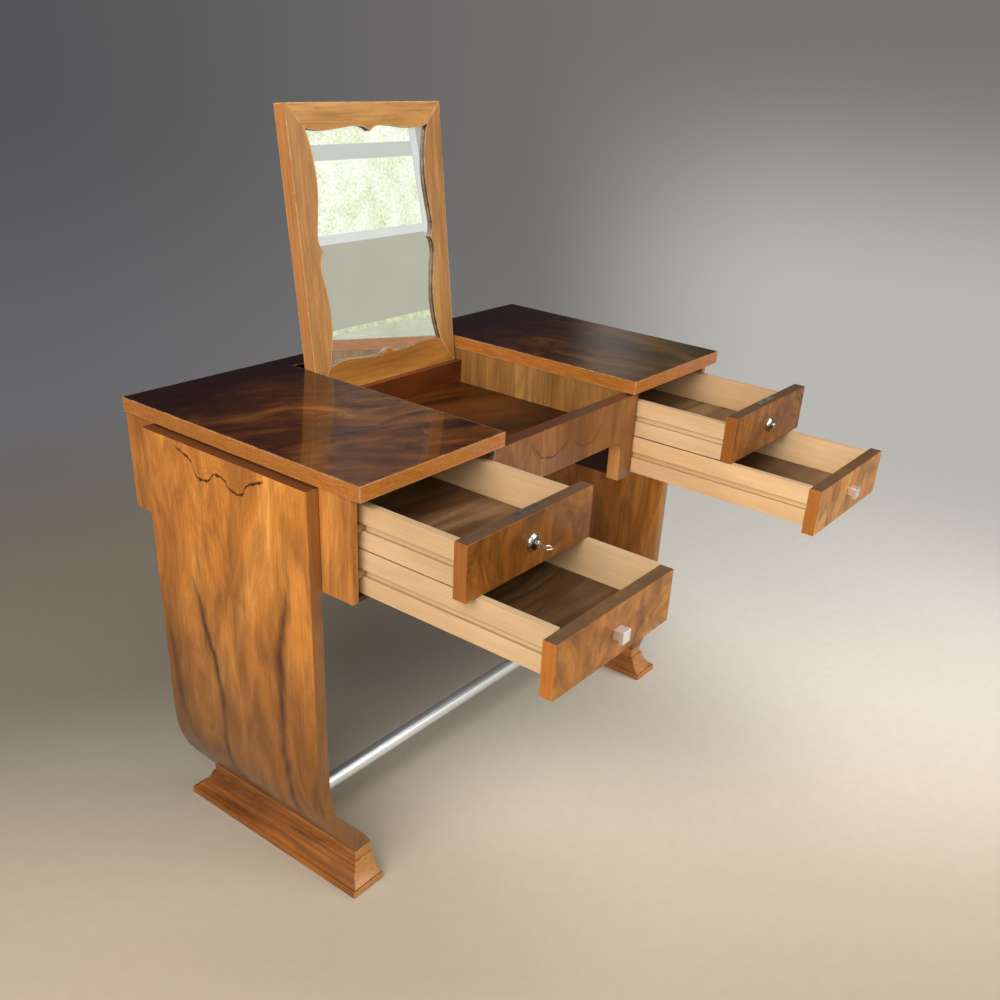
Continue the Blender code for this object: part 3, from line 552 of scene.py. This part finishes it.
def metal(name, tint, rough, stain=(0.35, 0.30, 0.25), stained=0.5, metallic=1.0):
    graph = Graph(name)
    wear = graph.noise(graph.stretch(graph.place(), (400, 400, 400)), 1.0, 4, 0.6)
    spots = graph.span(graph.noise(graph.place(), 700.0, 3), 0.60, 0.76)
    colour = graph.mix(graph.math("MULTIPLY", spots, stained), tint, stain)
    # painted highlight: the edges lightened towards near-white
    colour = graph.mix(graph.math("MULTIPLY", graph.edges(0.0008), 0.5), colour, (0.95, 0.94, 0.92))
    graph.bump(wear, 0.02, 0.0002)
    return graph.surface(colour, graph.span(wear, 0.3, 0.7, *rough), metallic=metallic)


def rosette(name):
    """Worn chrome with a dark middle inside a bright rim."""
    low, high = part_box(name)
    graph = Graph(name + "_chrome")
    wear = graph.noise(graph.stretch(graph.place(), (400, 400, 400)), 1.0, 4, 0.6)
    offset = graph.vector("SUBTRACT", graph.place(), tuple((low + high) / 2))
    radius = graph.length(graph.stretch(offset, (1, 0, 1)))
    dark = graph.times(graph.span(radius, 0.0112, 0.0098), graph.span(radius, 0.0048, 0.0058), 0.85)
    colour = graph.mix(dark, (0.66, 0.63, 0.58), (0.10, 0.085, 0.07))
    graph.bump(wear, 0.02, 0.0002)
    return graph.surface(colour, graph.span(wear, 0.3, 0.7, 0.14, 0.30), metallic=1.0)


def tube_steel():
    graph = Graph("satin_steel_tube")
    lines = graph.noise(graph.stretch(graph.place(), (12, 900, 900)), 1.0, 3, 0.6)
    cloud = graph.noise(graph.stretch(graph.place(), (6, 14, 14)), 1.0, 3, 0.5)
    colour = graph.ramp(cloud, [(0.35, (0.88, 0.95, 1.0)), (0.65, (0.80, 0.87, 0.92))])
    graph.bump(lines, 0.04, 0.0002)
    return graph.surface(colour, graph.span(lines, 0.3, 0.7, 0.30, 0.40), metallic=0.8,
                         specular=0.5)


def silvered_glass():
    graph = Graph("mirror_silvering")
    haze = graph.noise(graph.place(), 9.0, 4, 0.6)
    colour = graph.ramp(haze, [(0.3, (0.90, 0.92, 0.89)), (0.7, (0.85, 0.88, 0.84))])
    return graph.surface(colour, graph.span(haze, 0.4, 0.8, 0.004, 0.012), metallic=0.9)


def dress_drawer(sign, side, level):
    """The wooden pieces of one drawer, and its runners."""
    where = "%s_%s" % (level, side)
    upper = level == "upper"
    # painted light: the right-hand drawers' maple is made brighter, the lower one most
    painted_light_factor = 1.0 if sign < 0 else 1.1 if upper else 1.3
    for wall in ("outer", "inner"):
        which = "%s_%s" % (where, wall)
        index = 30 + sign + 3 * len(level + wall) + upper
        dress("drawer_%s_side" % which, maple("maple_" + which, index, ALONG_Y, painted_light_factor))
        dress("runner_" + which,
              plain_wood("runner_" + which, ALONG_Y, RUNNER_TONES, index + 9, coat=0.1))
    seed = 50 + 2 * sign + upper
    dress("drawer_%s_back" % where, maple("maple_back_" + where, seed, ALONG_X))
    dress("drawer_%s_bottom" % where,
          plain_wood("drawer_bottom_" + where, ALONG_X, TRAY_TONES, seed + 7, swirl=1.0,
                     figure=0.5, coat=0.12))
    tones, end_tone = ((BURL, (0.36, 0.118, 0.026)) if upper
                       else (PALE_BURL, (0.48, 0.160, 0.028)))
    dress("drawer_%s_front" % where, front_wood("front_" + where, seed + 13, tones, end_tone))


def dress_side(sign, side):
    """The pieces of one pedestal and its leg."""
    dress("leg_" + side, leg_wood("leg_veneer_" + side, sign, 3 + sign))
    dress("foot_" + side, foot_wood("foot_wood_" + side, sign, 7 + sign))
    dress("case_side_" + side,
          plain_wood("case_side_wood_" + side, ALONG_Z, ORANGE, 11 + sign, size=0.6, swirl=0.8,
                     cloud=0.16, figure=0.2, coat=0.35, coat_roughness=0.2))
    dress("case_bottom_" + side,
          plain_wood("case_bottom_wood_" + side, ALONG_Y, BROWN, 15 + sign, coat=0.1))
    dress("well_side_" + side, well_side_wood("well_side_veneer_" + side, 19 + sign))
    dress("lid_stile_" + side, frame_wood("stile_wood_" + side, UP_LID, HONEY, 23 + sign))
    for level in ("upper", "lower"):
        dress_drawer(sign, side, level)


def dress_middle():
    """The pieces between the pedestals, and the top."""
    dress("top_panel", lipped_top("top_polish", 1))
    dress("lid_panel", lipped_top("lid_polish", 2))
    dress("case_back", plain_wood("case_back_wood", ALONG_Z, BROWN, 61, coat=0.1))
    dress("apron", apron_wood())
    dress("well_floor",
          plain_wood("well_floor_wood", (0, 0, math.radians(20)), BROWN, 65, swirl=0.9,
                     figure=0.4, cloud=0.3, coat=0.12, coat_roughness=0.15, specular=0.08,
                     wear=0.0))
    dress("mirror_stop",
          plain_wood("mirror_stop_wood", ALONG_X, DEEP, 67, coat=0.3, coat_roughness=0.15))
    dress("lid_rail_top", frame_wood("top_rail_wood", ALONG_X, TOP_RAIL_TONES, 82))
    dress("lid_rail_bottom", frame_wood("bottom_rail_wood", ALONG_X, RAIL_TONES, 85))
    dress("mirror_glass", silvered_glass())


def dress_metal():
    """The tube, knobs, rosettes, key, pins and locks."""
    dress("stretcher_tube", tube_steel())
    satin = metal("satin_nickel", (0.90, 0.92, 0.96), (0.28, 0.40), stained=0.2, metallic=0.85)
    for name in ("knob_left", "knob_right"):
        dress(name, satin)
    plating = metal("worn_chrome", (0.62, 0.59, 0.54), (0.14, 0.30), (0.16, 0.13, 0.10), 0.8)
    for name in ("key", "pivot_pin_left", "pivot_pin_right"):
        dress(name, plating)
    for name in ("escutcheon_left", "escutcheon_right"):
        dress(name, rosette(name))
    dress("lock_right",
          metal("lock_steel_right", (0.38, 0.36, 0.30), (0.42, 0.58), (0.13, 0.11, 0.08), 0.8))
    dark_steel = metal("lock_steel_left", (0.17, 0.155, 0.12), (0.45, 0.6),
                       (0.06, 0.05, 0.04), 0.8)
    for name in ("lock_left", "lock_bolt"):
        dress(name, dark_steel)


def catch_plate():
    """Small steel plate under the left top, at the end of the apron."""
    low = Vector((CATCH_X[0], MIDDLE_Y + CATCH_DEPTH[0], CATCH_Z[0]))
    high = Vector((CATCH_X[1], MIDDLE_Y + CATCH_DEPTH[1], CATCH_Z[1]))
    mesh = bpy.data.meshes.new("catch_plate")
    bm = bmesh.new()
    bmesh.ops.create_cube(bm, size=1.0)
    for vert in bm.verts:
        vert.co = [(a + b) / 2 + c * (b - a) for a, b, c in zip(low, high, vert.co)]
    bmesh.ops.bevel(bm, geom=bm.edges, offset=0.0003, segments=2, affect="EDGES")
    bm.to_mesh(mesh)
    bm.free()
    obj = bpy.data.objects.new("catch_plate", mesh)
    scene.collection.objects.link(obj)
    mesh.materials.append(metal("catch_steel", (0.62, 0.62, 0.60), (0.3, 0.45)))
    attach(obj, "table")


dress_middle()
for sign, side in ((-1, "left"), (1, "right")):
    dress_side(sign, side)
dress_metal()
catch_plate()
for name in nodes:
    if name.startswith(("stretcher", "escutcheon", "key", "pivot", "leg", "foot")):
        round_off(name)
    elif name.startswith(("drawer", "case", "well", "lid", "mirror", "apron", "top", "knob")):
        ease(name)

# ---------------------------------------------------------------- floor, lights and camera
FLOOR_SIZE = 6.0
FLOOR_FADE = (2.6, 1.3)
WINDOW_AWAY = 3.5
WINDOW_TURN = math.radians(-2)
EYE = (-1.39864, MIDDLE_Y - 1.17373, 1.29331)
VIEW_HEADING = math.radians(54.35)
VIEW_TILT = math.radians(-27.93)
VIEW_ROLL = math.radians(-3.60)
LENS = 37.49
LENS_SHIFT = (-0.01997, 0.09043)
AHEAD = (math.sin(VIEW_HEADING), math.cos(VIEW_HEADING), 0.0)
ASIDE = (AHEAD[1], -AHEAD[0], 0.0)


def floor():
    mesh = bpy.data.meshes.new("floor")
    bm = bmesh.new()
    bmesh.ops.create_circle(bm, cap_ends=True, radius=FLOOR_SIZE / 2, segments=96)
    bm.to_mesh(mesh)
    bm.free()
    obj = bpy.data.objects.new("floor", mesh)
    scene.collection.objects.link(obj)
    obj.location.z = -0.0006
    graph = Graph("floor_paper")
    along = graph.vector_dot(graph.place(), AHEAD)
    across = graph.vector_dot(graph.place(), ASIDE)
    depth = graph.node("ShaderNodeMapRange", along, -0.6, 0.9).outputs[0]
    # painted light and shade: the floor darker in front, lighter beyond the table, grey far to the
    # left
    paper_with_painted_light = graph.ramp(depth, [(0.03, (0.46, 0.39, 0.30)), (0.20, (0.54, 0.47, 0.38)),
                               (0.40, (0.70, 0.64, 0.55)), (0.60, (0.79, 0.74, 0.66)),
                               (0.93, (0.81, 0.79, 0.75))])
    reach = graph.math("SUBTRACT", along, graph.math("MULTIPLY", across, 0.5))
    painted_far_shade = graph.times(graph.span(reach, -0.2, 0.65), graph.span(across, 0.35, -0.45))
    paper_with_painted_light = graph.mix(painted_far_shade, paper_with_painted_light, (0.25, 0.225, 0.180))
    mottle = graph.span(graph.noise(graph.place(), 40.0, 3), 0.3, 0.7, 0.985, 1.015)
    paper_with_painted_light = graph.mix(1.0, paper_with_painted_light, graph.grey(mottle), "MULTIPLY")
    graph.surface(paper_with_painted_light, 0.75, specular=0.1)
    graph.feed(graph.shader.inputs["Alpha"], graph.span(graph.length(graph.place()), *FLOOR_FADE))
    mesh.materials.append(graph.material)


def board(name, centre, facing, width, height, colour, strength):
    """Glowing board that lights the table and shows in its polish, but not to the camera."""
    mesh = bpy.data.meshes.new(name)
    bm = bmesh.new()
    bmesh.ops.create_grid(bm, x_segments=1, y_segments=1, size=0.5)
    bm.to_mesh(mesh)
    bm.free()
    obj = bpy.data.objects.new(name, mesh)
    scene.collection.objects.link(obj)
    turn = Vector(facing).to_track_quat("Z", "Y").to_matrix().to_4x4()
    size = Matrix.Diagonal((width, height, 1, 1))
    obj.matrix_world = Matrix.Translation(centre) @ turn @ size
    graph = Graph(name)
    graph.surface((0, 0, 0), 1.0, specular=0.0)
    glow = colour(graph) if callable(colour) else (*colour, 1)
    graph.feed(graph.shader.inputs["Emission Color"], glow)
    graph.shader.inputs["Emission Strength"].default_value = strength
    mesh.materials.append(graph.material)
    obj.visible_camera = False
    obj.visible_shadow = False


def leaves(graph):
    """Bright out-of-focus foliage."""
    fine = graph.noise(graph.place(), 55.0, 8, 0.8)
    broad = graph.noise(graph.place(), 5.0, 3, 0.6)
    across, up, _ = graph.axes(graph.place())
    shaded = graph.times(graph.span(across, -0.05, 0.35), graph.span(up, 0.10, 0.35), 0.10)
    share = graph.math("ADD", graph.times(fine, 0.7), graph.times(broad, 0.3))
    share = graph.math("SUBTRACT", share, shaded)
    return graph.ramp(share, [(0.36, (0.38, 0.46, 0.20)), (0.45, (0.72, 0.80, 0.50)),
                              (0.54, (1.0, 1.0, 0.95))])


def side_glow(graph):
    """Pale wall with soft sides, greenish towards the front of the room."""
    across = graph.axes(graph.place())[0]
    shown = graph.times(graph.span(across, -0.40, -0.15), graph.span(across, 0.50, 0.25))
    graph.feed(graph.shader.inputs["Alpha"], shown)
    return graph.mix(graph.span(across, -0.12, 0.12), (0.34, 0.32, 0.28), (0.13, 0.135, 0.085))


def sunlit(graph):
    """Streaks of light on a low hedge."""
    streaks = graph.noise(graph.stretch(graph.place(), (22, 1, 1)), 1.0, 3, 0.6)
    return graph.ramp(streaks, [(0.38, (0.52, 0.58, 0.34)), (0.60, (0.80, 0.86, 0.58))])


def window():
    """Wall and window that the mirror and the polish look at, out in front of the table."""
    turn = WINDOW_TURN
    towards = Vector((-math.sin(turn), math.cos(turn), 0))
    across = Vector((math.cos(turn), math.sin(turn), 0))
    origin = Vector((0, MIDDLE_Y, 0)) - towards * WINDOW_AWAY - across * 0.055

    def at(side, height, nearer=0.0):
        return origin + across * side + towards * nearer + Vector((0, 0, height))

    wall = (0.47, 0.445, 0.36)
    white = (0.70, 0.72, 0.71)
    board("room_wall", at(1.2, 1.4), towards, 8.0, 3.4, wall, 1.0)
    board("room_dado", at(1.6, 0.10, 0.01), towards, 7.0, 0.50, (0.50, 0.33, 0.245), 1.0)
    board("window_view", at(3.92, 1.45, 0.02), towards, 1.06, 1.00, leaves, 1.15)
    board("window_bar", at(3.92, 1.466, 0.04), towards, 1.08, 0.092, (0.60, 0.61, 0.58), 1.0)
    board("window_sill", at(3.92, 0.958, 0.06), towards, 1.08, 0.055, white, 1.08)
    board("window_post_right", at(4.452, 1.44, 0.05), towards, 0.065, 1.04, white, 1.05)
    board("lit_strip", at(3.90, 0.370, 0.03), towards, 1.25, 0.08, sunlit, 0.95)
    # pale wall far behind the right-hand side, which only the top's polish shows
    beside = Vector((3.4, MIDDLE_Y + 1.6, 1.5))
    board("side_wall", beside, Vector((-1, 0, 0)), 1.2, 1.8, side_glow, 1.0)


def area_light(name, centre, target, size, power, colour):
    data = bpy.data.lights.new(name, "AREA")
    data.shape = "RECTANGLE"
    data.size, data.size_y = size
    data.energy = power
    data.color = colour
    obj = bpy.data.objects.new(name, data)
    scene.collection.objects.link(obj)
    obj.location = centre
    obj.rotation_mode = "QUATERNION"
    obj.rotation_quaternion = (Vector(target) - Vector(centre)).to_track_quat("-Z", "Y")
    obj.visible_camera = False
    return obj


def sky():
    """A dark room behind the table, lighter towards the right, and a bright one before it."""
    graph = Graph("studio", world=True)
    scene.world = graph.material
    direction = graph.node("ShaderNodeTexCoord").outputs["Generated"]
    x, y, z = graph.axes(direction)
    squares = graph.math("ADD", graph.math("MULTIPLY", x, x), graph.math("MULTIPLY", y, y))
    flat = graph.math("SQRT", squares)
    rightness = graph.math("DIVIDE", x, flat)
    right = graph.span(rightness, 0.45, 0.95)
    grey = graph.mix(right, (0.105, 0.102, 0.108), (0.185, 0.178, 0.172))
    slope = graph.math("SUBTRACT", 1.0, right)
    height = graph.span(z, -0.05, -0.33, 0.86, 1.32)
    rise = graph.math("ADD", 1.0, graph.times(graph.math("SUBTRACT", height, 1.0), slope))
    grey = graph.mix(1.0, grey, graph.grey(rise), "MULTIPLY")
    lit = graph.math("MULTIPLY", graph.span(rightness, 0.80, 0.93), graph.span(z, 0.02, -0.20))
    backdrop = graph.mix(lit, grey, (0.49, 0.475, 0.45))
    frontness = graph.span(graph.vector_dot(direction, AHEAD), 0.3, -0.6)
    room = graph.mix(frontness, (0.035, 0.034, 0.036), (0.42, 0.40, 0.37))
    graph.feed(graph.shader.inputs["Color"], graph.mix(graph.span(z, 0.04, 0.14), backdrop, room))


def camera():
    """The photograph's viewing angle: heading, tilt, roll and place of the lens."""
    turn = (Matrix.Rotation(-VIEW_HEADING, 3, "Z") @ Matrix.Rotation(VIEW_TILT, 3, "X")
            @ Matrix.Rotation(VIEW_ROLL, 3, "Y"))
    right, ahead, up = turn.col[0], turn.col[1], turn.col[2]
    data = bpy.data.cameras.new("camera")
    data.lens = LENS
    data.sensor_width = 36.0
    data.shift_x, data.shift_y = LENS_SHIFT
    obj = bpy.data.objects.new("camera", data)
    scene.collection.objects.link(obj)
    basis = Matrix((right, up, -ahead)).transposed().to_4x4()
    obj.matrix_world = Matrix.Translation(EYE) @ basis
    scene.camera = obj


floor()
window()
sky()
area_light("window_light", (-2.2, -0.5, 1.9), (-0.3, 0.1, 0.5), (2.2, 1.8), 62, (1.0, 0.96, 0.90))
area_light("front_light", (0.9, -2.5, 1.7), (0.1, 0.1, 0.5), (1.6, 1.4), 26, (1.0, 0.98, 0.95))
area_light("top_light", (0.4, -0.8, 3.2), (0, 0.1, 0.4), (2.6, 2.2), 56, (1.0, 0.98, 0.95))
camera()
scene.view_settings.view_transform = "Standard"
